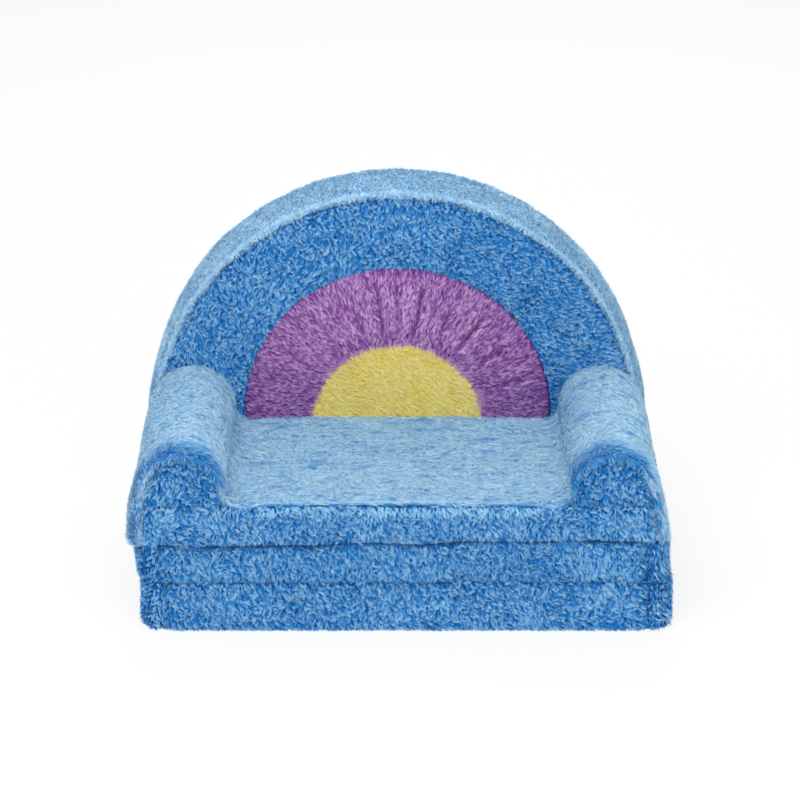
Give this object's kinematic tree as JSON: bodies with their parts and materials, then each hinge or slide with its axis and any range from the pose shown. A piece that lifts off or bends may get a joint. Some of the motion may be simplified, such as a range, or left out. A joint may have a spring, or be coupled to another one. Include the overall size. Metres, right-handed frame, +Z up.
{
  "type": "child's flip open sofa",
  "caption": "Child's plush foam sofa with bolster arms and a half-disc back; stacked cushions flip open to a lounger.",
  "frame": {"origin": "on the floor, under the middle of the closed sofa's box", "axes": "+Z up, the front towards -Y, +X to the right as seen from the front"},
  "size_m": [0.76, 0.415, 0.552],
  "materials": {
    "blue_plush": "long pile plush",
    "purple_plush": "long pile plush",
    "yellow_plush": "long pile plush",
    "dark_lining": "plain woven",
    "non_slip_base": "woven with raised rubber dots",
    "hinge_tape": "woven tape",
    "zip_tape": "woven tape, nylon coil",
    "zip_slider": "satin",
    "foam": "open-cell foam"
  },
  "bodies": {
    "bottom_cushion": {"bottom_foam": "foam", "bottom_base_lining": "non_slip_base", "bottom_top_panel": "blue_plush", "bottom_front_panel": "blue_plush", "bottom_side_boxing": "blue_plush", "rear_hinge_lower_leaf": "hinge_tape", "bottom_zip_tape": "zip_tape"},
    "middle_cushion": {"middle_foam": "foam", "middle_bottom_panel": "blue_plush", "middle_top_lining": "dark_lining", "middle_front_panel": "blue_plush", "middle_side_boxing": "blue_plush", "rear_hinge_upper_leaf": "hinge_tape", "front_hinge_lower_leaf": "hinge_tape", "middle_zip_tape": "zip_tape"},
    "seat_unit": {"seat_foam": "foam", "arm_foam_left": "foam", "arm_foam_right": "foam", "back_foam": "foam", "seat_wrap": "blue_plush", "seat_front_panel": "blue_plush", "arm_cap_left": "blue_plush", "arm_cap_right": "blue_plush", "seat_base_lining": "dark_lining", "back_gusset": "blue_plush", "back_rear_panel": "blue_plush", "back_face_blue": "blue_plush", "back_face_purple": "purple_plush", "back_face_yellow": "yellow_plush", "front_hinge_upper_leaf": "hinge_tape", "seat_zip_tape": "zip_tape"},
    "bottom_slider": {"bottom_zip_slider": "zip_slider"},
    "middle_slider": {"middle_zip_slider": "zip_slider"},
    "seat_slider": {"seat_zip_slider": "zip_slider"}
  },
  "joints": [
    {"name": "rear_hinge", "type": "hinge", "parent": "bottom_cushion", "child": "middle_cushion", "pos_m": [0, 0.20765, 0.06515], "axis": [-1, 0, 0], "range_deg": [0, 180]},
    {"name": "front_hinge", "type": "hinge", "parent": "middle_cushion", "child": "seat_unit", "pos_m": [0, -0.20765, 0.13045], "axis": [1, 0, 0], "range_deg": [0, 180]},
    {"name": "bottom_zip_slide", "type": "slide", "parent": "bottom_cushion", "child": "bottom_slider", "axis": [-1, 0, 0], "range_m": [0, 0.4074]},
    {"name": "middle_zip_slide", "type": "slide", "parent": "middle_cushion", "child": "middle_slider", "axis": [-1, 0, 0], "range_m": [0, 0.4074]},
    {"name": "seat_zip_slide", "type": "slide", "parent": "seat_unit", "child": "seat_slider", "axis": [-1, 0, 0], "range_m": [0, 0.4074]}
  ],
  "couplings": [
    {"joint": "front_hinge", "follows": "rear_hinge", "ratio": 1}
  ]
}
